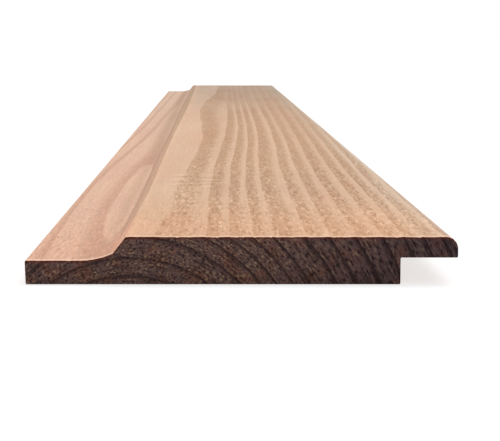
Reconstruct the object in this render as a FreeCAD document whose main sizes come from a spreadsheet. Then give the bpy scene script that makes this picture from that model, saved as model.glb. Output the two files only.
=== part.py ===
import FreeCAD, Part
import math
import os
import Sketcher

# Shiplap cladding board, moulded from one length of softwood. Sizes are in millimetres and degrees.
# The board lies on its back. X runs across it, from the tongue to the lip, Y runs along it, and Z goes
# up through the weather face. The origin is on the floor, under the middle of the board.

SIZES = {
    "board_length": 1800,
    "board_width": 145,
    "board_thickness": 16,
    "tongue_thickness": 8,  # the thin edge that the lip of the next board covers
    "tongue_flat": 18.5,  # its level part, before the cove begins
    "tongue_edge_rake": 2.2,  # its edge leans in towards the back
    "cove_radius": 26.5,  # the hollow between the tongue and the shoulder
    "cove_rise": 2.4,
    "shoulder_angle": 52,  # the steep bevel from the cove up to the face
    "lap_width": 19.2,  # how far the lip reaches over the next board's tongue
    "lap_clearance": 1,  # air between that tongue and the lip
    "nose_radius": 4,  # the round front corner of the lip
    "arris_radius": 0.4,  # the long outer corners, eased with paper
    "shoulder_arris_radius": 1,
    "rebate_corner_radius": 0.4,  # left by the cutter in the rebate's inner corner
}


def make_sheet(doc):
    """The driving dimensions, one in each row, with its name as the alias."""
    sheet = doc.addObject("Spreadsheet::Sheet", "sizes")
    for row, (name, value) in enumerate(SIZES.items(), start=1):
        sheet.set(f"A{row}", name)
        sheet.set(f"B{row}", str(value))
        sheet.setAlias(f"B{row}", name)
    doc.recompute()
    return sheet


def find_corners(sheet):
    """The corners of the section as (x, z), in order from the back of the tongue."""
    tongue_tip = -sheet.board_width / 2
    lip_tip = sheet.board_width / 2
    wall = lip_tip - sheet.lap_width
    rebate_height = sheet.tongue_thickness + sheet.lap_clearance
    cove_start = tongue_tip + sheet.tongue_flat
    cove_run = math.sqrt(sheet.cove_rise * (2 * sheet.cove_radius - sheet.cove_rise))
    cove_top = sheet.tongue_thickness + sheet.cove_rise
    bevel_run = (sheet.board_thickness - cove_top) / math.tan(math.radians(sheet.shoulder_angle))
    rake_run = sheet.tongue_thickness * math.tan(math.radians(sheet.tongue_edge_rake))
    return {
        "tongue_back": (tongue_tip + rake_run, 0),
        "wall_foot": (wall, 0),
        "wall_top": (wall, rebate_height),
        "lip_drip": (lip_tip, rebate_height),
        "nose_foot": (lip_tip, sheet.board_thickness - sheet.nose_radius),
        "nose_top": (lip_tip - sheet.nose_radius, sheet.board_thickness),
        "shoulder_top": (cove_start + cove_run + bevel_run, sheet.board_thickness),
        "cove_end": (cove_start + cove_run, cove_top),
        "cove_start": (cove_start, sheet.tongue_thickness),
        "tongue_tip": (tongue_tip, sheet.tongue_thickness),
    }


def draw_edges(sheet):
    """The section as a closed loop of straight edges and two arcs, each with its own name."""
    corner = {name: FreeCAD.Vector(x, z, 0) for name, (x, z) in find_corners(sheet).items()}
    nose_centre = FreeCAD.Vector(corner["nose_top"].x, corner["nose_foot"].y, 0)
    cove_centre = corner["cove_start"] + FreeCAD.Vector(0, sheet.cove_radius, 0)
    cove_end = corner["cove_end"] - cove_centre
    up = FreeCAD.Vector(0, 0, 1)
    nose = Part.ArcOfCircle(Part.Circle(nose_centre, up, sheet.nose_radius), 0, math.pi / 2)
    cove = Part.ArcOfCircle(
        Part.Circle(cove_centre, up, sheet.cove_radius),
        -math.pi / 2,
        math.atan2(cove_end.y, cove_end.x),
    )
    return {
        "back": Part.LineSegment(corner["tongue_back"], corner["wall_foot"]),
        "rebate_wall": Part.LineSegment(corner["wall_foot"], corner["wall_top"]),
        "lip_underside": Part.LineSegment(corner["wall_top"], corner["lip_drip"]),
        "lip_edge": Part.LineSegment(corner["lip_drip"], corner["nose_foot"]),
        "nose": nose,
        "face": Part.LineSegment(corner["nose_top"], corner["shoulder_top"]),
        "shoulder": Part.LineSegment(corner["shoulder_top"], corner["cove_end"]),
        "cove": cove,
        "tongue_face": Part.LineSegment(corner["cove_start"], corner["tongue_tip"]),
        "tongue_edge": Part.LineSegment(corner["tongue_tip"], corner["tongue_back"]),
    }


def draw_section(body, sheet):
    """The section on the body's XZ plane, fully constrained, with each dimension bound to the sheet."""
    sketch = body.newObject("Sketcher::SketchObject", "section")
    plane = next(item for item in body.Origin.OriginFeatures if item.Role == "XZ_Plane")
    sketch.AttachmentSupport = [(plane, "")]
    sketch.MapMode = "FlatFace"
    edges = draw_edges(sheet)
    sketch.addGeometry(list(edges.values()), False)
    index = {name: number for number, name in enumerate(edges)}
    start, end = 1, 2
    origin = x_axis = -1

    def relate(kind, *where):
        """Adds a relation between edges, which are given by name."""
        numbers = [index.get(item, item) for item in where]
        sketch.addConstraint(Sketcher.Constraint(kind, *numbers))

    def bind(name, expression, kind, *where):
        """Adds a dimension under its own name and ties it to the sheet."""
        numbers = [index.get(item, item) for item in where]
        value = float(sketch.evalExpression(expression))
        if kind == "Angle":
            value = math.radians(value)
        number = sketch.addConstraint(Sketcher.Constraint(kind, *numbers, value))
        sketch.renameConstraint(number, name)
        sketch.setExpression(f"Constraints.{name}", expression)

    # Both arcs run anticlockwise, so the cove ends at the shoulder and starts at the tongue.
    relate("Coincident", "back", end, "rebate_wall", start)
    relate("Coincident", "rebate_wall", end, "lip_underside", start)
    relate("Coincident", "lip_underside", end, "lip_edge", start)
    relate("Tangent", "lip_edge", end, "nose", start)
    relate("Tangent", "nose", end, "face", start)
    relate("Coincident", "face", end, "shoulder", start)
    relate("Coincident", "shoulder", end, "cove", end)
    relate("Tangent", "cove", start, "tongue_face", start)
    relate("Coincident", "tongue_face", end, "tongue_edge", start)
    relate("Coincident", "tongue_edge", end, "back", start)
    relate("PointOnObject", "back", start, x_axis)
    relate("Horizontal", "back")
    relate("Vertical", "rebate_wall")
    relate("Horizontal", "lip_underside")
    relate("Vertical", "lip_edge")
    relate("Horizontal", "face")
    relate("Horizontal", "tongue_face")

    bind("half", "sizes.board_width / 2", "DistanceX", "tongue_edge", start, origin, start)
    bind("width", "sizes.board_width", "DistanceX", "tongue_edge", start, "lip_edge", start)
    bind("thickness", "sizes.board_thickness", "DistanceY", origin, start, "face", start)
    bind("tongue", "sizes.tongue_thickness", "DistanceY", origin, start, "tongue_edge", start)
    bind("flat", "sizes.tongue_flat", "DistanceX", "tongue_face", end, "tongue_face", start)
    bind("rake", "90 + sizes.tongue_edge_rake", "Angle", "back", start, "tongue_edge", end)
    bind("hollow", "sizes.cove_radius", "Radius", "cove")
    bind("rise", "sizes.cove_rise", "DistanceY", "cove", start, "cove", end)
    bind("bevel", "180 - sizes.shoulder_angle", "Angle", "shoulder", start, "face", end)
    bind("lap", "sizes.lap_width", "DistanceX", "lip_underside", start, "lip_underside", end)
    bind(
        "rebate_height",
        "sizes.tongue_thickness + sizes.lap_clearance",
        "DistanceY",
        "rebate_wall",
        start,
        "rebate_wall",
        end,
    )
    bind("nose_size", "sizes.nose_radius", "Radius", "nose")
    return sketch


def find_long_edges(shape, points):
    """The names of the edges that run along the board through the given (x, z) corners."""
    names = []
    for x, z in points:
        for number, edge in enumerate(shape.Edges, start=1):
            middle = edge.CenterOfMass
            runs_along = edge.BoundBox.YLength > 0.9 * shape.BoundBox.YLength
            if runs_along and math.hypot(middle.x - x, middle.z - z) < 0.01:
                names.append(f"Edge{number}")
    if len(names) != len(points):
        raise RuntimeError("a corner of the section has no long edge of its own")
    return names


def round_edges(body, base, name, points, cell):
    """Rounds the long edges through the given corners, with the radius from one cell of the sheet."""
    rounding = body.newObject("PartDesign::Fillet", name)
    rounding.Base = (base, find_long_edges(base.Shape, points))
    rounding.setExpression("Radius", f"sizes.{cell}")
    body.Document.recompute()
    return rounding


doc = FreeCAD.newDocument("cladding")
sheet = make_sheet(doc)
corner = find_corners(sheet)

board = doc.addObject("PartDesign::Body", "board")
board.Label = "board"
section = draw_section(board, sheet)
doc.recompute()
if not section.FullyConstrained:
    raise RuntimeError("the section is not fully constrained")

length = board.newObject("PartDesign::Pad", "length")
length.Profile = section
length.SideType = "Symmetric"
length.setExpression("Length", "sizes.board_length")
doc.recompute()
section.Visibility = False

outer_corners = [corner[name] for name in ("tongue_back", "tongue_tip", "wall_foot", "lip_drip")]
arrises = round_edges(board, length, "arrises", outer_corners, "arris_radius")
brow = round_edges(board, arrises, "shoulder_arris", [corner["shoulder_top"]], "shoulder_arris_radius")
root = round_edges(board, brow, "rebate_corner", [corner["wall_top"]], "rebate_corner_radius")

for item in doc.Objects:
    if "Invalid" in item.State or "Error" in item.State:
        raise RuntimeError(f"{item.Name} did not compute")

os.makedirs("parts", exist_ok=True)
shape = board.Shape
if shape.isNull() or not shape.isValid() or len(shape.Solids) != 1:
    raise RuntimeError("the board is not one sound solid")
shape.exportStep("parts/board.step")
print("board", shape.BoundBox, round(shape.Volume / 1000), "cubic centimetres")
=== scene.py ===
import math
import bpy
import numpy as np
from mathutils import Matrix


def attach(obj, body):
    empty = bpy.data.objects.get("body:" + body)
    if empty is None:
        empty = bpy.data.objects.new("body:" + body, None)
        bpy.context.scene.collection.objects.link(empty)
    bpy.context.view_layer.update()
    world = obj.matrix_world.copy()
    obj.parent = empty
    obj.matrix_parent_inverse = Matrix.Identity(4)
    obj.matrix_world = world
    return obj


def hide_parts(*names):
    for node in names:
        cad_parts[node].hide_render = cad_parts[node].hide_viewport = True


# A shiplap cladding board on a pale floor. X runs across it from the tongue to the lip, Y runs along
# the grain, Z goes up through the weather face. Sizes below are in millimetres unless a note says so.

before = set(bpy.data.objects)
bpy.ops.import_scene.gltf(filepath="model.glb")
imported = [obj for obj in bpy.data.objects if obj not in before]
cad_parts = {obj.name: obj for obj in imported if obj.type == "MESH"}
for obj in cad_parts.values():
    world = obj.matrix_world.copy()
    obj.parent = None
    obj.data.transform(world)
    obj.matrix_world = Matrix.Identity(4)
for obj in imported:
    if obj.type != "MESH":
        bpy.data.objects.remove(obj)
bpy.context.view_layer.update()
mm = 0.001

# the moulded section

boardSection = {
    "length": 1800,
    "width": 145,
    "thickness": 16,
    "tongueThickness": 8,
    "tongueFlat": 18.5,
    "tongueEdgeRake": 2.2,  # degrees
    "coveRadius": 26.5,
    "coveRise": 2.4,
    "shoulderAngle": 52,  # degrees
    "lapWidth": 19.2,
    "rebateHeight": 9,
    "noseRadius": 4,
    "arris": 0.4,
    "shoulderArris": 1.0,
}

boardGrid = {
    # cells along each run of the section, over the top from the tongue's edge to the lip's edge
    "tipArc": 4,
    "tongue": 24,
    "cove": 18,
    "shoulder": 9,
    "browArc": 5,
    "face": 160,
    "noseArc": 12,
    # and underneath, where the back and the lip's underside share what is left
    "backArc": 4,
    "footArc": 3,
    "wall": 10,
    "insideArc": 3,
    "dripArc": 4,
    "levels": 16,  # cells from the back up to the face
    "crowding": 0.08,  # how much closer the levels lie by the back and by the face
    "nearRows": 104,  # cells along the near half, closest together at the end
    "farRows": 66,
    "firstRow": 0.4,  # the length of the cell at each end
    "sharpAngle": 50,  # degrees, past which an edge is shaded sharp
}


def straightRun(start, end, cells):
    # evenly spaced points on the line from start to end
    share = np.linspace(0, 1, cells + 1)[:, None]
    return np.asarray(start) * (1 - share) + np.asarray(end) * share


def cornerArc(before, corner, after, radius, cells):
    # the arc of this radius that touches both lines of a corner: its centre lies on the line that
    # halves the corner's angle, at the radius over the sine of half the angle
    before, corner, after = (np.asarray(p, dtype=float) for p in (before, corner, after))
    toBefore = (before - corner) / np.linalg.norm(before - corner)
    toAfter = (after - corner) / np.linalg.norm(after - corner)
    half = math.acos(np.clip(toBefore @ toAfter, -1, 1)) / 2
    middle = toBefore + toAfter
    centre = corner + middle / np.linalg.norm(middle) * radius / math.sin(half)
    reach = radius / math.tan(half)
    first, last = corner + toBefore * reach - centre, corner + toAfter * reach - centre
    start = math.atan2(first[1], first[0])
    turn = (math.atan2(last[1], last[0]) - start + math.pi) % (2 * math.pi) - math.pi
    angle = start + turn * np.linspace(0, 1, cells + 1)
    return centre + radius * np.stack([np.cos(angle), np.sin(angle)], axis=1)


def joinRuns(*runs):
    # one row of points, with the point that two runs share kept once
    return np.vstack([runs[0]] + [run[1:] for run in runs[1:]])


def sectionCurves(s, n):
    # two curves of equally many points, both from the tongue's edge to the lip's edge: over the top
    # by the tongue, cove, shoulder, face and nose, and underneath by the back, rebate wall and lip
    tip, lip = -s["width"] / 2, s["width"] / 2
    wall = lip - s["lapWidth"]
    tongue, top = s["tongueThickness"], s["thickness"]
    rake = tongue * math.tan(math.radians(s["tongueEdgeRake"]))
    tongueBack, tongueTip = (tip + rake, 0), (tip, tongue)
    coveStart = (tip + s["tongueFlat"], tongue)
    coveTurn = math.acos(1 - s["coveRise"] / s["coveRadius"])
    coveAngle = np.linspace(0, coveTurn, n["cove"] + 1)
    coveX = coveStart[0] + s["coveRadius"] * np.sin(coveAngle)
    coveZ = tongue + s["coveRadius"] * (1 - np.cos(coveAngle))
    cove = np.stack([coveX, coveZ], axis=1)
    bevel = (top - cove[-1][1]) / math.tan(math.radians(s["shoulderAngle"]))
    shoulderTop, noseCorner = (cove[-1][0] + bevel, top), (lip, top)
    lipDrip, wallTop, wallFoot = (lip, s["rebateHeight"]), (wall, s["rebateHeight"]), (wall, 0)

    tipArc = cornerArc(tongueBack, tongueTip, coveStart, s["arris"], n["tipArc"])
    browArc = cornerArc(cove[-1], shoulderTop, noseCorner, s["shoulderArris"], n["browArc"])
    noseArc = cornerArc(shoulderTop, noseCorner, lipDrip, s["noseRadius"], n["noseArc"])
    over = joinRuns(
        tipArc,
        straightRun(tipArc[-1], coveStart, n["tongue"]),
        cove,
        straightRun(cove[-1], browArc[0], n["shoulder"]),
        browArc,
        straightRun(browArc[-1], noseArc[0], n["face"]),
        noseArc,
    )
    backArc = cornerArc(tongueTip, tongueBack, wallFoot, s["arris"], n["backArc"])
    footArc = cornerArc(tongueBack, wallFoot, wallTop, s["arris"], n["footArc"])
    insideArc = cornerArc(wallFoot, wallTop, lipDrip, s["arris"], n["insideArc"])
    dripArc = cornerArc(wallTop, lipDrip, noseCorner, s["arris"], n["dripArc"])
    # the lip's underside has as many cells as lie over it, so that no cell of the end crosses the rebate
    beyond = (noseArc[0][0] - wall) / (noseArc[0][0] - browArc[-1][0])
    underLip = math.ceil(beyond * n["face"]) + n["noseArc"] - n["dripArc"] - n["insideArc"]
    fixedRuns = ("backArc", "footArc", "wall", "insideArc", "dripArc")
    underBack = len(over) - 1 - underLip - sum(n[run] for run in fixedRuns)
    under = joinRuns(
        backArc,
        straightRun(backArc[-1], footArc[0], underBack),
        footArc,
        straightRun(footArc[-1], insideArc[0], n["wall"]),
        insideArc,
        straightRun(insideArc[-1], dripArc[0], underLip),
        dripArc,
    )
    faceStart = sum(n[run] for run in ("tipArc", "tongue", "cove", "shoulder", "browArc"))
    return over, under, (faceStart, faceStart + n["face"])


def growingSteps(reach, cells, first):
    # distances from an end, where the cells grow as the hyperbolic sine does, from the first cell's
    # length up: the rate is found by halving
    low, high = 0.01, 12.0
    for _ in range(60):
        rate = (low + high) / 2
        if reach * math.sinh(rate / cells) / math.sinh(rate) > first:
            low = rate
        else:
            high = rate
    return reach * np.sinh(rate * np.linspace(0, 1, cells + 1)) / math.sinh(rate)


# the tree that the board was sawn from

growth = {
    "pith": (35, -35),  # from the tongue's tip and the back, at the near end
    # the outer radius of each year's ring
    "rings": (
        (12, 18.5, 25, 31.5, 38.1, 44.2, 51.6, 56.7, 60.9, 65.5, 70.2, 78.2)
        + (84.3, 91.5, 99.1, 105.4, 111.2, 117, 123, 129, 135, 141, 148)
    ),
    # how far the rings lie further out than at the near end, by the distance along the board
    "drift": {
        "tongue": (
            ((0, 0.2), (60, 0.3), (110, 1.7), (200, 2), (330, 1.6), (450, 0.2))
            + ((540, -1.7), (640, -3), (830, -4.8), (1100, -6), (1400, -7), (1800, -8))
        ),
        "brow": (
            ((0, 0.1), (60, 0.3), (230, 0.7), (400, 2.3), (520, 3.1), (640, 3.1))
            + ((800, 2.3), (950, 1.4), (1200, 2.5), (1350, 4.6), (1450, 6), (1800, 6.5))
        ),
        "face": (
            ((0, 0), (230, 1), (365, 2.7), (520, 5.5), (700, 7.6), (915, 8.5))
            + ((1100, 8.8), (1400, 10), (1800, 12))
        ),
        "lip": (
            ((0, 0), (230, 0.8), (365, 2.2), (520, 4.6), (700, 6.4), (915, 8.8))
            + ((1100, 10.3), (1400, 12), (1800, 14))
        ),
    },
    # where one drift hands over to the next, in millimetres from the tongue's tip
    "handOver": (("brow", 24, 40), ("face", 55, 80), ("lip", 100, 130)),
    "flatGrain": 6,  # inside this ring the sawn face is smooth and pale
    "softWood": (0.06, 0.6, 0.95),  # the shares of a year where it is full, begins to fail and has gone
    "sweepRadius": 60,  # of the arc that the way round the pith is measured on
}


def smoothRun(knots, where):
    # a curve through the knots, averaged over a window of about 120 mm so that it has no corners
    place, value = np.array(knots, dtype=float).T
    step, window = 10.0, np.hanning(25)
    fine = np.arange(-400, 2200, step)  # well past both ends of the board
    slope = (value[-1] - value[-2]) / (place[-1] - place[-2])
    raw = np.interp(fine, place, value) + np.maximum(fine - place[-1], 0) * slope
    return np.interp(where, fine, np.convolve(raw, window / window.sum(), mode="same"))


def ringCount(x, y, z, s, g):
    # the distance from the pith, less the drift of the rings along the board, read against the
    # rings' radii: whole numbers are the ends of years. The sweep is how far round the pith a point
    # lies, as the length of an arc
    across, along = x + s["width"] / 2, y + s["length"] / 2
    radius = np.hypot(across - g["pith"][0], z - g["pith"][1])
    sweep = np.arctan2(across - g["pith"][0], z - g["pith"][1]) * g["sweepRadius"]
    drift = smoothRun(g["drift"]["tongue"], along)
    for part, start, end in g["handOver"]:
        share = np.clip((across - start) / (end - start), 0, 1)
        share = share**2 * (3 - 2 * share)
        drift = drift * (1 - share) + smoothRun(g["drift"][part], along) * share
    return np.interp(radius - drift, g["rings"], np.arange(len(g["rings"]))), sweep


# the saw's and the handling's marks on the board's shape

boardWear = {
    "seed": 7,
    "ridge": 0.1,  # how far the sawn face's soft wood lies below the hard lines
    "tornEnd": 0.11,  # how far soft wood is mostly torn out of the cut ends
    "tornHard": 0.25,  # the share of that on a hard line
    "chips": 0.035,  # the raggedness of the end's upper edge
    "chipReach": 0.7,  # how far along the board it dies out
    "edgeWaver": 0.05,  # of the long arrises
}


def softWood(ring, g):
    # 1 where a year begins, in soft wood, falling to 0 at its hard line
    full, failing, gone = g["softWood"]
    share = ring - np.floor(ring)
    return np.clip(share / full, 0, 1) * np.clip((gone - share) / (gone - failing), 0, 1)


def makeBoard(s, grid, wear, g):
    # the skin of a box of cells: points across run on the two section curves, points between levels
    # are blended from the lower to the upper curve, and rows repeat the section along the grain
    over, under, faceCells = sectionCurves(s, grid)
    near = growingSteps(s["length"] / 2, grid["nearRows"], grid["firstRow"])
    far = growingSteps(s["length"] / 2, grid["farRows"], grid["firstRow"])
    along = np.concatenate([near - s["length"] / 2, (s["length"] / 2 - far)[::-1][1:]])
    level = np.linspace(0, 1, grid["levels"] + 1)
    level = level - np.sin(2 * math.pi * level) * grid["crowding"]
    nAcross, nAlong, nLevel = len(over) - 1, len(along) - 1, grid["levels"]

    section = under[:, None] * (1 - level[None, :, None]) + over[:, None] * level[None, :, None]
    i, j, k = np.meshgrid(
        np.arange(nAcross + 1), np.arange(nAlong + 1), np.arange(nLevel + 1), indexing="ij"
    )
    onSkin = (i == 0) | (i == nAcross) | (j == 0) | (j == nAlong) | (k == 0) | (k == nLevel)
    number = np.full(onSkin.shape, -1)
    number[onSkin] = np.arange(onSkin.sum())
    i, j, k = i[onSkin], j[onSkin], k[onSkin]
    points = np.stack([section[i, k, 0], along[j], section[i, k, 1]], axis=1)
    ring, sweep = ringCount(points[:, 0], points[:, 1], points[:, 2], s, g)
    depth = over[i, 1] - points[:, 2]

    # the saw leaves the soft wood a little lower on the face
    chance = np.random.default_rng(wear["seed"])
    soft = softWood(ring, g)
    flat = ring < g["flatGrain"]
    onFace = (k == nLevel) & (i > faceCells[0] + 1) & (i < faceCells[1])
    points[:, 2] -= onFace * soft * ~flat * wear["ridge"]

    # and tears it out of the ends, deepest away from the rim
    pluck = chance.normal(size=(nAcross + 1, nLevel + 1))
    inside = (i > 0) & (i < nAcross) & (k > 0) & (k < nLevel)
    torn = (wear["tornHard"] + (1 - wear["tornHard"]) * soft) * np.abs(pluck[i, k]) * wear["tornEnd"]
    points[:, 1] += np.where(inside & (j == 0), torn, 0) - np.where(inside & (j == nAlong), torn, 0)

    # the end's upper edge is ragged: each column is lower there by chance, and less so further in
    chip = chance.normal(size=nAcross + 1) ** 2 * wear["chips"]
    toEnd = np.minimum(along[j] + s["length"] / 2, s["length"] / 2 - along[j])
    upper = (k == nLevel) & (i > grid["tipArc"] / 2) & (i < nAcross - 1)
    points[:, 2] -= np.where(upper, chip[i] * np.exp(-toEnd / wear["chipReach"]), 0)

    # the long arrises waver where the rows are close enough to show it
    waver = chance.normal(size=(nAlong + 1, 2)) * wear["edgeWaver"]
    byTip = (i < grid["tipArc"]) & (k == nLevel)
    byNose = (i > nAcross - grid["noseArc"] / 2) & (k == nLevel)
    points[:, 0] += np.where(byTip, np.abs(waver[j, 0]), 0)
    points[:, 0] -= np.where(byNose, np.abs(waver[j, 1]), 0)

    def sheet(n, turned):
        # the cells of one side of the box, wound so that they face out
        a, b, c, d = n[:-1, :-1], n[1:, :-1], n[1:, 1:], n[:-1, 1:]
        cells = np.stack([a, d, c, b] if turned else [a, b, c, d], axis=-1)
        return cells.reshape(-1, 4)

    topCells = sheet(number[:, :, -1], False)
    column = np.repeat(np.arange(nAcross), nAlong)
    sawn = (column >= faceCells[0] - 1) & (column < faceCells[1])
    parts = [
        (topCells[sawn], 0),
        (topCells[~sawn], 1),
        (sheet(number[:, :, 0], True), 1),
        (sheet(number[0], True), 1),
        (sheet(number[-1], False), 1),
        (sheet(number[:, 0], False), 2),
        (sheet(number[:, -1], True), 2),
    ]
    faces = np.concatenate([cells for cells, _ in parts])
    slots = np.concatenate([np.full(len(cells), slot) for cells, slot in parts])

    mesh = bpy.data.meshes.new("boardTimber")
    mesh.from_pydata((points * mm).tolist(), [], faces.tolist())
    mesh.polygons.foreach_set("material_index", slots.astype(np.int32))
    for name, value in (("ringCount", ring), ("ringSweep", sweep), ("depth", depth)):
        mesh.attributes.new(name, "FLOAT", "POINT").data.foreach_set("value", value.astype(np.float32))
    mesh.polygons.foreach_set("use_smooth", np.ones(len(faces), dtype=bool))
    mesh.set_sharp_from_angle(angle=math.radians(grid["sharpAngle"]))
    mesh.update()
    board = bpy.data.objects.new("boardTimber", mesh)
    bpy.context.collection.objects.link(board)
    print("board mesh", len(points), "points,", 2 * len(faces), "triangles")
    return board


def tint(red, green, blue):
    # a colour as seen on a screen, 0 to 255, as linear light
    share = np.array([red, green, blue]) / 255
    linear = np.where(share <= 0.04045, share / 12.92, ((share + 0.055) / 1.055) ** 2.4)
    return (*linear.tolist(), 1.0)


def place(tree, kind, values=None, **settings):
    # one node, with its settings and its inputs set or linked
    node = tree.nodes.new(kind)
    for name, value in settings.items():
        setattr(node, name, value)
    for key, value in (values or {}).items():
        if isinstance(value, bpy.types.NodeSocket):
            tree.links.new(value, node.inputs[key])
        else:
            node.inputs[key].default_value = value
    return node


def work(tree, operation, *values):
    # one operation on the values
    return place(tree, "ShaderNodeMath", dict(enumerate(values)), operation=operation).outputs[0]


def times(tree, first, *others):
    # the product of all the values
    for other in others:
        first = work(tree, "MULTIPLY", first, other)
    return first


def fade(tree, value, low, high, start=0.0, end=1.0):
    # start below low, end above high, and a smooth step between
    values = {0: value, 1: low, 2: high, 3: start, 4: end}
    return place(tree, "ShaderNodeMapRange", values, interpolation_type="SMOOTHSTEP").outputs[0]


def blend(tree, share, first, second, kind="MIX"):
    # the first colour at a share of 0, and at 1 the second one, or the two multiplied
    node = place(tree, "ShaderNodeMix", {0: share, 6: first, 7: second}, data_type="RGBA", blend_type=kind)
    return node.outputs[2]


def stretched(tree, spot, scale):
    # each coordinate times its own scale
    return place(tree, "ShaderNodeVectorMath", {0: spot, 1: scale}, operation="MULTIPLY").outputs[0]


def grainNoise(tree, spot, scale, detail=3.0, rough=0.55):
    # noise on stretched coordinates; the scale is in cells a millimetre along each axis
    values = {"Vector": stretched(tree, spot, scale), "Scale": 1.0, "Detail": detail, "Roughness": rough}
    return place(tree, "ShaderNodeTexNoise", values).outputs["Fac"]


def newGroup(name, inputs, outputs):
    # an empty node group, and the sockets inside it that its inputs come from and its outputs go to
    tree = bpy.data.node_groups.new(name, "ShaderNodeTree")
    for label, kind in inputs:
        tree.interface.new_socket(label, in_out="INPUT", socket_type=kind)
    for label, kind in outputs:
        tree.interface.new_socket(label, in_out="OUTPUT", socket_type=kind)
    return tree, place(tree, "NodeGroupInput").outputs, place(tree, "NodeGroupOutput").inputs


def useGroup(tree, group, values):
    # one use of a group, with values of its own
    return place(tree, "ShaderNodeGroup", values, node_tree=group).outputs


def putOut(tree, out, **results):
    # links each result to the group's output of that name
    for name, value in results.items():
        tree.links.new(value, out[name])


floatSocket, vectorSocket = "NodeSocketFloat", "NodeSocketVector"


# scales are in cells a millimetre across, along and up
ringLook = {
    "slowWaver": (0.11, 0.008, 0.11),
    "quickWaver": (0.45, 0.045, 0.45),
    "quickShare": 0.22,
    "softRise": (0.0, 0.06),  # the shares of a year where its soft wood sets in
    "hardTo": 0.95,  # and where its hard line is darkest
    "hardEnd": (0.97, 1.0),  # and where that ends
}


def yearRings(r):
    # splits the ring count into the soft wood that begins a year, the hard line that ends it and a
    # chance number of its own for each year; a slow and a quick noise keep the lines from being even
    tree, given, out = newGroup(
        "yearRings",
        [
            ("Ring", floatSocket),
            ("Place", vectorSocket),
            ("Waver", floatSocket),
            ("SoftFrom", floatSocket),
            ("SoftTo", floatSocket),
            ("HardFrom", floatSocket),
        ],
        [("Soft", floatSocket), ("Hard", floatSocket), ("Year", floatSocket), ("Count", floatSocket)],
    )
    slow = work(tree, "SUBTRACT", grainNoise(tree, given["Place"], r["slowWaver"], detail=1.0), 0.5)
    quick = work(tree, "SUBTRACT", grainNoise(tree, given["Place"], r["quickWaver"], detail=1.0), 0.5)
    waver = work(tree, "MULTIPLY_ADD", quick, r["quickShare"], slow)
    ring = work(tree, "MULTIPLY_ADD", waver, given["Waver"], given["Ring"])
    share = work(tree, "FRACT", ring)
    values = {"W": work(tree, "FLOOR", ring)}
    year = place(tree, "ShaderNodeTexWhiteNoise", values, noise_dimensions="1D").outputs["Value"]
    soft = fade(tree, share, given["SoftFrom"], given["SoftTo"], 1.0, 0.0)
    soft = times(tree, soft, fade(tree, share, *r["softRise"]))
    hard = fade(tree, share, given["HardFrom"], r["hardTo"])
    hard = times(tree, hard, fade(tree, share, *r["hardEnd"], 1.0, 0.0))
    putOut(tree, out, Soft=soft, Hard=hard, Year=year, Count=ring)
    return tree


fibreLook = {
    "streaks": (1.3, 0.02, 1.3),
    "patches": (0.035, 0.006, 0.035),
    "fraying": (0.8, 0.1, 0.8),
    "frayed": 3.0,  # how far the rim wavers, in millimetres
    "rim": (0.4, 3.6),  # where the painted highlight at the rim begins and ends
}


def woodFibre(w, s):
    # long fine streaks along the grain, broad patches of tone, the distances from the near end and
    # from the tongue's tip in millimetres, and a painted highlight as a light rim at both ends
    tree, given, out = newGroup(
        "woodFibre",
        [("Place", vectorSocket)],
        [
            ("Streaks", floatSocket),
            ("Patches", floatSocket),
            ("Along", floatSocket),
            ("Across", floatSocket),
            ("Rim", floatSocket),
        ],
    )
    streaks = grainNoise(tree, given["Place"], w["streaks"], detail=4.0, rough=0.7)
    patches = grainNoise(tree, given["Place"], w["patches"], detail=3.0)
    split = place(tree, "ShaderNodeSeparateXYZ", {0: given["Place"]}).outputs
    along = work(tree, "ADD", split["Y"], s["length"] / 2)
    across = work(tree, "ADD", split["X"], s["width"] / 2)
    toEnd = work(tree, "SUBTRACT", s["length"] / 2, work(tree, "ABSOLUTE", split["Y"]))
    fraying = grainNoise(tree, given["Place"], w["fraying"], detail=1.0)
    rim = fade(tree, work(tree, "MULTIPLY_ADD", fraying, -w["frayed"], toEnd), *w["rim"], 1.0, 0.0)
    putOut(tree, out, Streaks=streaks, Patches=patches, Along=along, Across=across, Rim=rim)
    return tree


fuzzLook = {
    "specks": (0.85, 0.11, 0.85),
    "pits": (0.85, 0.1, 0.85),
    "pitShift": (31.0, 70.0, 0.0),  # so that pits and specks don't fall together
    "tufts": (0.4, 0.04, 0.4),
    "markSpacing": 18.0,  # millimetres between the saw's marks
    "sway": (0.03, 0.02, 0.03),
    "swayBy": 16.0,  # how far the marks sway, in radians
    "shaking": (0.06, 0.03, 0.06),
    "shakes": (0.35, 0.6, 0.0, 0.22),  # how clear the marks are where the blade shook a little
    "clearAt": (-17.0, -665.0),  # the place, from the board's middle, where it shook most
    "clearAcross": (8.0, 14.0),
    "clearAlong": (25.0, 60.0),
}


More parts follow.
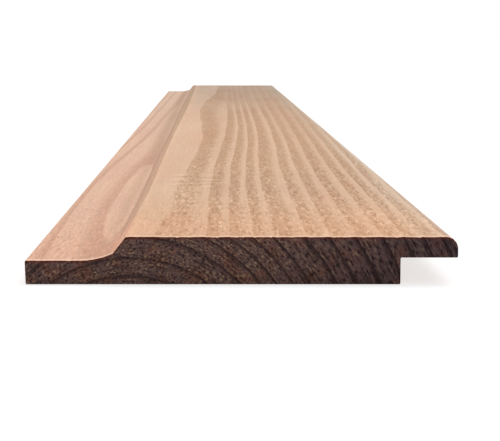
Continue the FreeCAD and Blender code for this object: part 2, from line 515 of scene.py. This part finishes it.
def sawFuzz(z):
    # short torn fibres that lie along the grain, and the band saw's own marks across it, which are
    # clear only where the blade shook
    tree, given, out = newGroup(
        "sawFuzz",
        [("Place", vectorSocket)],
        [("Specks", floatSocket), ("Pits", floatSocket), ("Tufts", floatSocket), ("Marks", floatSocket)],
    )
    specks = grainNoise(tree, given["Place"], z["specks"], detail=3.0, rough=0.8)
    values = {0: given["Place"], 1: z["pitShift"]}
    shifted = place(tree, "ShaderNodeVectorMath", values, operation="ADD").outputs[0]
    pits = grainNoise(tree, shifted, z["pits"], detail=3.0, rough=0.75)
    tufts = grainNoise(tree, given["Place"], z["tufts"], detail=2.0, rough=0.6)
    split = place(tree, "ShaderNodeSeparateXYZ", {0: given["Place"]}).outputs
    sway = times(tree, grainNoise(tree, given["Place"], z["sway"], detail=1.0), z["swayBy"])
    turns = work(tree, "MULTIPLY_ADD", split["Y"], 2 * math.pi / z["markSpacing"], sway)
    shaken = fade(tree, grainNoise(tree, given["Place"], z["shaking"], detail=2.0), *z["shakes"])
    farX = work(tree, "ABSOLUTE", work(tree, "SUBTRACT", split["X"], z["clearAt"][0]))
    farY = work(tree, "ABSOLUTE", work(tree, "SUBTRACT", split["Y"], z["clearAt"][1]))
    clear = fade(tree, farX, *z["clearAcross"], 1.0, 0.0)
    clear = times(tree, clear, fade(tree, farY, *z["clearAlong"], 1.0, 0.0))
    marks = times(tree, work(tree, "SINE", turns), work(tree, "MAXIMUM", shaken, clear))
    putOut(tree, out, Specks=specks, Pits=pits, Tufts=tufts, Marks=marks)
    return tree


groups = {
    "rings": yearRings(ringLook),
    "fibre": woodFibre(fibreLook, boardSection),
    "fuzz": sawFuzz(fuzzLook),
}


def newMaterial(name, roughness, specular):
    # a material with its shader, and what the grain is drawn from: the place and the ring count
    material = bpy.data.materials.new(name)
    material.use_nodes = True
    tree = material.node_tree
    tree.nodes.clear()
    shader = place(tree, "ShaderNodeBsdfPrincipled", {"Specular IOR Level": specular, "Roughness": roughness})
    place(tree, "ShaderNodeOutputMaterial", {"Surface": shader.outputs[0]})
    spot = place(tree, "ShaderNodeTexCoord").outputs["Object"]
    spot = stretched(tree, spot, (1000.0, 1000.0, 1000.0))  # now in millimetres
    ring = place(tree, "ShaderNodeAttribute", attribute_name="ringCount").outputs["Fac"]
    return material, tree, shader.inputs, spot, ring


def toned(tree, colour, tone):
    # the colour made lighter or darker
    return place(tree, "ShaderNodeVectorMath", {0: colour, "Scale": tone}, operation="SCALE").outputs[0]


def tonedIn(tree, colour, f, places):
    # each named tone of a finish, multiplied in by its share
    for share, name in places:
        colour = blend(tree, share, colour, f[name], "MULTIPLY")
    return colour


def addBump(tree, shader, height, f):
    # the height as a bump, as deep and as strong as the finish says
    values = {"Height": height, "Distance": f["bumpHeight"], "Strength": f["bump"]}
    tree.links.new(place(tree, "ShaderNodeBump", values).outputs[0], shader["Normal"])


# the fine-sawn weather face: a year's soft wood comes up rough and dark, its hard line smooth and pale.
# A run of four is where a change begins and ends and its value there, and one of two goes from 0 to 1.
# Along is from the near end, across from the tongue's tip, and the noises run from 0 to 1
sawnFinish = {
    "hardWood": tint(221, 183, 152),
    "softWood": tint(194, 153, 121),
    "speckDark": tint(148, 102, 70),
    "speckLight": tint(252, 222, 190),
    "nearTone": (1.02, 0.92, 0.85, 1.0),  # multiplied in towards the near end
    "blush": (1.03, 0.965, 0.95, 1.0),  # and in patches
    "fallOffShade": (0.755, 0.82, 0.885, 1.0),  # and towards the far end: painted shade, for the light falling off along the board
    "hazeTone": (1.0, 1.025, 1.07, 1.0),  # and at the far end itself
    "browHighlight": (1.05, 1.05, 1.05, 1.0),  # and a painted highlight along the face by the shoulder
    "shoulderShadeStrip": (0.71, 0.68, 0.635, 1.0),  # and painted shade where the shaded shoulder's tone is carried on to the face
    "lipTone": (1.0, 1.13, 1.24, 1.0),  # and by the lip
    # a painted highlight along both ends' arrises
    "rim": tint(248, 208, 178),
    "rimHighlightShare": 0.75,
    "waver": 0.22,  # of the rings, in years
    "softFrom": 0.38,  # the share of a year where its soft wood begins to fade
    "softTo": (0.0, 400.0, 0.82, 0.98),  # and where it has gone, along
    "flatEdge": 0.02,  # how sharply the flat grain ends, in years
    # the bands' strength: faint by the near end and the shoulder, and gone towards the far end
    "bandsAlong": (0.0, 240.0, 0.42, 0.94),
    "bandsAcross": (44.0, 66.0, 0.42, 1.0),
    "bandsByYear": (0.0, 1.0, 0.92, 1.0),
    "bandsEnd": (930.0, 1200.0, 1.0, 0.08),
    # the even tone that they turn into by the lip, a little of it everywhere, and at the far end
    "lipEvenAcross": (85.0, 125.0),
    "lipEvenAlong": (200.0, 750.0, 0.0, 0.66),
    "leastAlong": (60.0, 240.0, 0.0, 0.18),
    "farEvenAlong": (930.0, 1250.0),
    "farEven": (0.0, 1.0, 0.2, 0.6),  # on the flat grain and outside it
    # the torn fibres: on the soft wood, fewer further on, and everywhere at the near end
    "roughSoft": (0.0, 0.6, 0.12, 1.0),
    "roughAlong": (60.0, 600.0, 1.0, 0.45),
    "roughNear": (0.0, 220.0, 0.8, 0.0),
    "roughNearAcross": (38.0, 52.0, 0.4, 1.0),
    "darkSpecks": (0.49, 0.65),
    "darkShare": 0.62,
    "lightSpecks": (0.5, 0.65),
    "lightAlong": (40.0, 260.0, 0.56, 0.46),
    "patchTone": (0.35, 0.65, 0.96, 1.025),
    "streakTone": (0.3, 0.7, 0.945, 1.045),
    "markTone": 0.09,
    # where the tones above lie
    "nearAlong": (0.0, 190.0, 1.0, 0.0),
    "blushPatches": (0.5, 0.35, 0.0, 0.8),
    "fallOffAlong": (600.0, 1650.0),
    "fallOffAcross": (38.0, 47.0, 0.5, 1.0),
    "hazeAlong": (1450.0, 1720.0),
    "shadeStripNear": (60.0, 200.0, 34.2, 35.2),  # how far across the painted shoulder shade reaches
    "shadeStripFar": (350.0, 1200.0, 0.0, 2.8),  # and how much further, further on
    "shadeStripPast": (-0.4, 0.4, 1.0, 0.0),  # past the painted shade's edge
    "browHighlightPast": (0.8, 3.5, 1.0, 0.0),
    "browHighlightAlong": (700.0, 950.0, 1.0, 0.0),
    "lipAcross": (124.0, 142.0),
    "roughness": (0.0, 1.0, 0.72, 0.92),  # of a hard line and of soft wood
    "tuftHeight": 0.4,
    "markHeight": 0.5,
    "bumpHeight": 0.0006,  # metres
    "bump": 0.4,
}


def sawnFace(f, g):
    # from the hard wood's colour to the soft wood's by the share of the year, with specks on the soft
    # wood, and tones by the distances along and across
    material, tree, shader, spot, ring = newMaterial("sawnFace", 0.85, 0.2)
    fibre = useGroup(tree, groups["fibre"], {"Place": spot})
    fuzz = useGroup(tree, groups["fuzz"], {"Place": spot})
    along, across = fibre["Along"], fibre["Across"]
    softTo = fade(tree, along, *f["softTo"])
    values = {"Ring": ring, "Place": spot, "Waver": f["waver"], "SoftFrom": f["softFrom"], "SoftTo": softTo}
    rings = useGroup(tree, groups["rings"], values)
    flatTo, flatEdge = g["flatGrain"], f["flatEdge"]
    outside = fade(tree, rings["Count"], flatTo - flatEdge, flatTo + flatEdge)
    soft = times(tree, rings["Soft"], outside)
    # the bands, from hard lines to soft wood
    strength = times(tree, fade(tree, along, *f["bandsAlong"]), fade(tree, across, *f["bandsAcross"]))
    strength = times(tree, soft, times(tree, strength, fade(tree, rings["Year"], *f["bandsByYear"])))
    byLip = times(tree, fade(tree, across, *f["lipEvenAcross"]), fade(tree, along, *f["lipEvenAlong"]))
    least = times(tree, outside, fade(tree, along, *f["leastAlong"]))
    strength = work(tree, "MAXIMUM", strength, work(tree, "MAXIMUM", byLip, least))
    strength = times(tree, strength, fade(tree, along, *f["bandsEnd"]))
    byFar = times(tree, fade(tree, along, *f["farEvenAlong"]), fade(tree, outside, *f["farEven"]))
    strength = work(tree, "ADD", strength, byFar)
    colour = blend(tree, strength, f["hardWood"], f["softWood"])
    # torn fibres show as dark and light specks, most of all on the soft wood
    rough = times(tree, fade(tree, soft, *f["roughSoft"]), fade(tree, along, *f["roughAlong"]))
    nearEnd = times(tree, fade(tree, along, *f["roughNear"]), fade(tree, across, *f["roughNearAcross"]))
    rough = work(tree, "MAXIMUM", rough, nearEnd)
    dark = times(tree, fade(tree, fuzz["Specks"], *f["darkSpecks"]), rough, f["darkShare"])
    light = times(tree, fade(tree, fuzz["Pits"], *f["lightSpecks"]), rough)
    light = times(tree, light, fade(tree, along, *f["lightAlong"]))
    colour = blend(tree, light, blend(tree, dark, colour, f["speckDark"]), f["speckLight"])
    tone = fade(tree, fibre["Patches"], *f["patchTone"])
    tone = times(tree, tone, fade(tree, fibre["Streaks"], *f["streakTone"]))
    tone = times(tree, tone, work(tree, "MULTIPLY_ADD", fuzz["Marks"], f["markTone"], 1.0))
    colour = toned(tree, colour, tone)
    # painted shade: the shaded shoulder's tone runs a little on to the face, further towards the far end
    shadeStripEdge = work(tree, "ADD", fade(tree, along, *f["shadeStripNear"]), fade(tree, along, *f["shadeStripFar"]))
    past = work(tree, "SUBTRACT", across, shadeStripEdge)
    # painted shade towards the far end, where the light falls off
    fallOffShare = times(tree, fade(tree, along, *f["fallOffAlong"]), fade(tree, across, *f["fallOffAcross"]))
    # a painted highlight just past the painted shade, gone towards the far end
    browHighlightShare = times(tree, fade(tree, past, *f["browHighlightPast"]), fade(tree, along, *f["browHighlightAlong"]))
    places = (
        (fade(tree, along, *f["nearAlong"]), "nearTone"),
        (fade(tree, fibre["Patches"], *f["blushPatches"]), "blush"),
        (fallOffShare, "fallOffShade"),
        (fade(tree, along, *f["hazeAlong"]), "hazeTone"),
        (browHighlightShare, "browHighlight"),
        (fade(tree, past, *f["shadeStripPast"]), "shoulderShadeStrip"),
        (fade(tree, across, *f["lipAcross"]), "lipTone"),
    )
    colour = tonedIn(tree, colour, f, places)
    # a painted highlight at both ends
    colour = blend(tree, times(tree, fibre["Rim"], f["rimHighlightShare"]), colour, f["rim"])
    tree.links.new(colour, shader["Base Color"])
    tree.links.new(fade(tree, soft, *f["roughness"]), shader["Roughness"])
    height = times(tree, work(tree, "SUBTRACT", fuzz["Pits"], fuzz["Specks"]), rough)
    height = work(tree, "MULTIPLY_ADD", fuzz["Tufts"], f["tuftHeight"], height)
    height = work(tree, "MULTIPLY_ADD", fuzz["Marks"], f["markHeight"], height)
    addBump(tree, shader, height, f)
    return material


# the planed tongue, cove, shoulder, lip and back: here a year begins dark and pales as it goes on
planedFinish = {
    "wood": tint(225, 182, 151),
    "pink": tint(219, 172, 147),
    "yearStart": tint(200, 149, 120),
    "speck": tint(170, 120, 92),
    "nearTone": (0.99, 0.92, 0.9, 1.0),  # multiplied in towards the near end
    "fallOffShade": (0.88, 0.97, 1.02, 1.0),  # and towards the far end: painted shade, greyer and darker as the light falls off
    "coveShadeAndStain": (0.78, 0.74, 0.68, 1.0),  # and painted shade, with some stain, in the cove and at the shoulder's foot
    "shoulderShade": (0.91, 0.85, 0.8, 1.0),  # and painted shade on the shoulder's upper part
    "nearShoulderLight": (1.35, 1.33, 1.28, 1.0),  # and painted light on the shoulder by the near end, which lifts its shade there
    "noseTone": (0.9, 1.12, 1.26, 1.0),  # and on the lip's nose
    # a painted highlight along both ends' arrises, and the light specks' colour
    "rim": tint(252, 214, 184),
    "rimHighlightShare": 0.65,
    "waver": 0.1,  # of the rings, in years
    "soft": (0.1, 0.5),  # the shares of a year where its dark start fades
    "hardFrom": 0.7,
    "yearShare": 0.8,
    "pinkPatches": (0.35, 0.65, 0.0, 0.7),
    "specksAlong": (0.0, 260.0, 0.8, 0.35),
    "darkSpecks": (0.53, 0.68, 0.0, 0.75),
    "lightSpecks": (0.52, 0.66, 0.0, 0.36),
    "streakTone": (0.3, 0.7, 0.92, 1.08),
    "pitTone": (0.35, 0.65, 0.96, 1.03),
    # where the tones above lie
    "moulded": (34.0, 36.0, 1.0, 0.0),  # across, up to the face
    "nearAlong": (0.0, 150.0, 1.0, 0.0),
    "fallOffAlong": (200.0, 1800.0),
    "footRise": (20.0, 26.0, 0.0, 0.46),  # across, the foot of the shoulder all along the board
    "footFall": (26.0, 28.5, 1.0, 0.1),
    "footAlong": (40.0, 120.0),
    "hollowRise": (17.0, 24.5),  # across, the cove from its middle on
    "hollowFall": (26.5, 29.0, 1.0, 0.5),
    "hollowAlong": (340.0, 640.0),
    "hollowEnd": (1200.0, 1500.0, 1.0, 0.7),
    "shoulderShadeAcross": (30.2, 33.4),
    "nearShoulderLightAcross": (27.5, 30.5),
    "nearShoulderLightAlong": (25.0, 85.0, 1.0, 0.0),
    "noseAcross": (136.0, 142.0),
    "roughness": (0.3, 0.7, 0.54, 0.68),  # by the streaks
    "ringHeight": 0.5,
    "bumpHeight": 0.0003,  # metres
    "bump": 0.15,
}


def planedMoulding(f):
    # plain wood with a darker start to each year and few specks, and tones by the same distances
    material, tree, shader, spot, ring = newMaterial("planedMoulding", 0.6, 0.2)
    values = {"Ring": ring, "Place": spot, "Waver": f["waver"]}
    values.update({"SoftFrom": f["soft"][0], "SoftTo": f["soft"][1], "HardFrom": f["hardFrom"]})
    rings = useGroup(tree, groups["rings"], values)
    fibre = useGroup(tree, groups["fibre"], {"Place": spot})
    fuzz = useGroup(tree, groups["fuzz"], {"Place": spot})
    along, across = fibre["Along"], fibre["Across"]
    colour = blend(tree, fade(tree, fibre["Patches"], *f["pinkPatches"]), f["wood"], f["pink"])
    colour = blend(tree, times(tree, rings["Soft"], f["yearShare"]), colour, f["yearStart"])
    nearEnd = fade(tree, along, *f["specksAlong"])
    dark = times(tree, fade(tree, fuzz["Specks"], *f["darkSpecks"]), nearEnd)
    light = times(tree, fade(tree, fuzz["Pits"], *f["lightSpecks"]), nearEnd)
    colour = blend(tree, light, blend(tree, dark, colour, f["speck"]), f["rim"])
    tone = fade(tree, fibre["Streaks"], *f["streakTone"])
    colour = toned(tree, colour, times(tree, tone, fade(tree, fuzz["Pits"], *f["pitTone"])))
    # painted shade, with some of the wood's own stain: the cove and the shoulder darken along the board
    moulded = fade(tree, across, *f["moulded"])
    foot = times(tree, fade(tree, across, *f["footRise"]), fade(tree, across, *f["footFall"]))
    foot = times(tree, foot, fade(tree, along, *f["footAlong"]))
    hollow = times(tree, fade(tree, across, *f["hollowRise"]), fade(tree, along, *f["hollowAlong"]))
    hollow = times(tree, hollow, fade(tree, across, *f["hollowFall"]))
    hollow = times(tree, hollow, fade(tree, along, *f["hollowEnd"]))
    hollow = times(tree, work(tree, "MAXIMUM", hollow, foot), moulded)
    # painted light on the shoulder by the near end
    nearShoulderLit = times(tree, fade(tree, across, *f["nearShoulderLightAcross"]), moulded)
    nearShoulderLit = times(tree, nearShoulderLit, fade(tree, along, *f["nearShoulderLightAlong"]))
    places = (
        (fade(tree, along, *f["nearAlong"]), "nearTone"),
        # painted shade towards the far end
        (fade(tree, along, *f["fallOffAlong"]), "fallOffShade"),
        # painted shade with some stain in the cove
        (hollow, "coveShadeAndStain"),
        # painted shade on the shoulder
        (times(tree, fade(tree, across, *f["shoulderShadeAcross"]), moulded), "shoulderShade"),
        # painted light on the shoulder by the near end
        (nearShoulderLit, "nearShoulderLight"),
        (fade(tree, across, *f["noseAcross"]), "noseTone"),
    )
    colour = tonedIn(tree, colour, f, places)
    # a painted highlight at both ends
    colour = blend(tree, times(tree, fibre["Rim"], f["rimHighlightShare"]), colour, f["rim"])
    tree.links.new(colour, shader["Base Color"])
    tree.links.new(fade(tree, fibre["Streaks"], *f["roughness"]), shader["Roughness"])
    addBump(tree, shader, work(tree, "MULTIPLY_ADD", rings["Hard"], f["ringHeight"], fibre["Streaks"]), f)
    return material


# the cross-cut ends: dark, with darker hard lines, torn pores and lines that follow the rings
endFinish = {
    "softWood": tint(103, 79, 75),
    "hardWood": tint(44, 28, 29),
    "speckLight": tint(166, 138, 108),
    "speckDark": tint(32, 21, 20),
    "rust": tint(124, 78, 62),
    "lipTone": (0.6, 0.62, 0.73, 1.0),  # multiplied in from the middle to the lip
    "topRim": tint(98, 34, 20),
    "waver": 0.12,  # of the rings, in years
    "hardFrom": 0.67,  # the share of a year where its hard line begins
    # noises: cells a year and a millimetre round the pith, and cells a millimetre
    "pores": (9.0, 0.75, 0.5),
    "lines": (7.0, 0.11, 0.5),
    "blotches": (0.16, 0.16, 0.16),
    "clumps": (0.2, 0.2, 0.2),
    "rustBlotches": (0.45, 0.65, 0.0, 0.5),
    "darkLines": (0.5, 0.36, 0.0, 0.5),
    # the light specks: in clumps, along the lines, and fewest at both sides
    "lightClumps": (0.4, 0.6, 0.3, 1.0),
    "lightLines": (0.4, 0.56, 0.25, 1.0),
    "lightTongue": (-60.0, -10.0, 0.75, 1.1),  # from the board's middle
    "lightLip": (0.0, 30.0, 1.0, 0.6),
    "lightPores": (0.51, 0.66),
    "darkPores": (0.48, 0.34, 0.0, 0.95),
    "lined": (-25.0, 10.0, 0.66, 0.82),  # how clear the hard lines are
    "lipFrom": (5.0, 75.0),
    "topDepth": (0.2, 1.1, 0.8, 0.0),  # below the upper edge
    "lineHeight": 0.6,
    "bumpHeight": 0.0005,  # metres
    "bump": 0.5,
}


def endGrain(f):
    # soft wood with rusty blotches, then specks along the rings, the hard lines and the upper rim
    material, tree, shader, spot, ring = newMaterial("endGrain", 0.88, 0.12)
    values = {"Ring": ring, "Place": spot, "Waver": f["waver"], "HardFrom": f["hardFrom"]}
    rings = useGroup(tree, groups["rings"], values)
    split = place(tree, "ShaderNodeSeparateXYZ", {0: spot}).outputs
    sweep = place(tree, "ShaderNodeAttribute", attribute_name="ringSweep").outputs["Fac"]
    # the years across and the sweep round the pith, so that torn fibres and lines follow the rings
    values = {"X": rings["Count"], "Y": sweep, "Z": split["Y"]}
    polar = place(tree, "ShaderNodeCombineXYZ", values).outputs[0]
    pores = grainNoise(tree, polar, f["pores"], detail=2.0, rough=0.65)
    lines = grainNoise(tree, polar, f["lines"], detail=2.0, rough=0.65)
    blotches = grainNoise(tree, spot, f["blotches"], detail=3.0)
    clumps = grainNoise(tree, spot, f["clumps"], detail=2.0)
    colour = blend(tree, fade(tree, blotches, *f["rustBlotches"]), f["softWood"], f["rust"])
    colour = blend(tree, fade(tree, lines, *f["darkLines"]), colour, f["speckDark"])
    torn = times(tree, fade(tree, clumps, *f["lightClumps"]), fade(tree, lines, *f["lightLines"]))
    torn = times(tree, torn, fade(tree, split["X"], *f["lightTongue"]))
    torn = times(tree, torn, fade(tree, split["X"], *f["lightLip"]))
    torn = times(tree, torn, fade(tree, pores, *f["lightPores"]))
    colour = blend(tree, torn, colour, f["speckLight"])
    colour = blend(tree, fade(tree, pores, *f["darkPores"]), colour, f["speckDark"])
    lined = times(tree, rings["Hard"], fade(tree, split["X"], *f["lined"]))
    colour = blend(tree, lined, colour, f["hardWood"])
    colour = blend(tree, fade(tree, split["X"], *f["lipFrom"]), colour, f["lipTone"], "MULTIPLY")
    depth = place(tree, "ShaderNodeAttribute", attribute_name="depth").outputs["Fac"]
    colour = blend(tree, fade(tree, depth, *f["topDepth"]), colour, f["topRim"])
    tree.links.new(colour, shader["Base Color"])
    addBump(tree, shader, work(tree, "MULTIPLY_ADD", lines, f["lineHeight"], pores), f)
    return material


board = makeBoard(boardSection, boardGrid, boardWear, growth)
for material in (sawnFace(sawnFinish, growth), planedMoulding(planedFinish), endGrain(endFinish)):
    board.data.materials.append(material)
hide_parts("board")
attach(board, "root")
print("timber finished")

# the floor, the light and the camera

studio = {
    "floorReach": 60.0,  # metres
    "floorDrop": 0.0001,  # metres below the board's back, so that the two don't flicker
    "floorColour": tint(235, 235, 235),
    "floorSeen": (1.3, 1.3, 1.3, 1.0),  # what the camera sees, so that a lit floor is white
    "shadowLight": 0.7,  # the share of the seen floor that is white even in the shadow
    "worldLight": 0.55,
    "sunLight": 1.5,
    "sunFrom": (0.3, 0.35, 0.89),
    "sunSpread": 40,  # degrees
}


def seenRay(tree):
    # 1 for what is seen directly, in a reflection or through glass, and 0 for what only lights the board
    path = place(tree, "ShaderNodeLightPath").outputs
    direct = work(tree, "MAXIMUM", path["Is Camera Ray"], path["Is Glossy Ray"])
    return work(tree, "MAXIMUM", direct, path["Is Transmission Ray"])


def makeFloor(st):
    # a square, with its middle under the board. What is seen of it is mostly white of itself, and the
    # rest takes the light, so that the board's shadow stays
    reach, height = st["floorReach"], -st["floorDrop"]
    corners = [(x * reach, y * reach, height) for x, y in ((-1, -1), (1, -1), (1, 1), (-1, 1))]
    mesh = bpy.data.meshes.new("floor")
    mesh.from_pydata(corners, [], [(0, 1, 2, 3)])
    floor = bpy.data.objects.new("floor", mesh)
    bpy.context.collection.objects.link(floor)
    material = bpy.data.materials.new("paleFloor")
    material.use_nodes = True
    tree = material.node_tree
    tree.nodes.clear()
    seen = seenRay(tree)
    colour = blend(tree, seen, st["floorColour"], st["floorSeen"])
    lit = place(tree, "ShaderNodeBsdfDiffuse", {"Color": colour}).outputs[0]
    white = place(tree, "ShaderNodeEmission", {"Color": (1, 1, 1, 1), "Strength": 1.0}).outputs[0]
    share = work(tree, "MULTIPLY", seen, st["shadowLight"])
    shader = place(tree, "ShaderNodeMixShader", {0: share, 1: lit, 2: white})
    place(tree, "ShaderNodeOutputMaterial", {"Surface": shader.outputs[0]})
    mesh.materials.append(material)


def makeLight(st):
    # an even white glow all round, and a wide sun that points from its place to the board
    world = bpy.data.worlds.new("studio")
    bpy.context.scene.world = world
    world.use_nodes = True
    tree = world.node_tree
    tree.nodes.clear()
    values = {0: seenRay(tree), 3: st["worldLight"], 4: 1.0}
    strength = place(tree, "ShaderNodeMapRange", values).outputs[0]
    glow = place(tree, "ShaderNodeBackground", {"Color": (1, 1, 1, 1), "Strength": strength})
    place(tree, "ShaderNodeOutputWorld", {"Surface": glow.outputs[0]})
    lamp = bpy.data.lights.new("sun", "SUN")
    lamp.energy = st["sunLight"]
    lamp.angle = math.radians(st["sunSpread"])
    sun = bpy.data.objects.new("sun", lamp)
    x, y, z = st["sunFrom"]
    sun.rotation_euler = (math.atan2(math.hypot(x, y), z), 0, math.atan2(x, -y))
    bpy.context.collection.objects.link(sun)


camera = {
    "lens": 123.8,
    "spot": (-0.00885, -1.4703, 0.08243),  # metres
    "down": 6.101,  # degrees below level
    "shift": 0.0704,
    "sensor": 36,  # millimetres
    "clip": (0.01, 200),  # metres
}


def makeCamera(c):
    # it looks along the board and a little down, and is shifted and not turned across
    data = bpy.data.cameras.new("camera")
    data.lens = c["lens"]
    data.sensor_width = c["sensor"]
    data.shift_x = c["shift"]
    data.clip_start, data.clip_end = c["clip"]
    thing = bpy.data.objects.new("camera", data)
    thing.location = c["spot"]
    thing.rotation_euler = (math.radians(90 - c["down"]), 0, 0)
    bpy.context.collection.objects.link(thing)
    bpy.context.scene.camera = thing


makeFloor(studio)
makeLight(studio)
makeCamera(camera)
bpy.context.scene.view_settings.view_transform = "Standard"
print("studio ready")
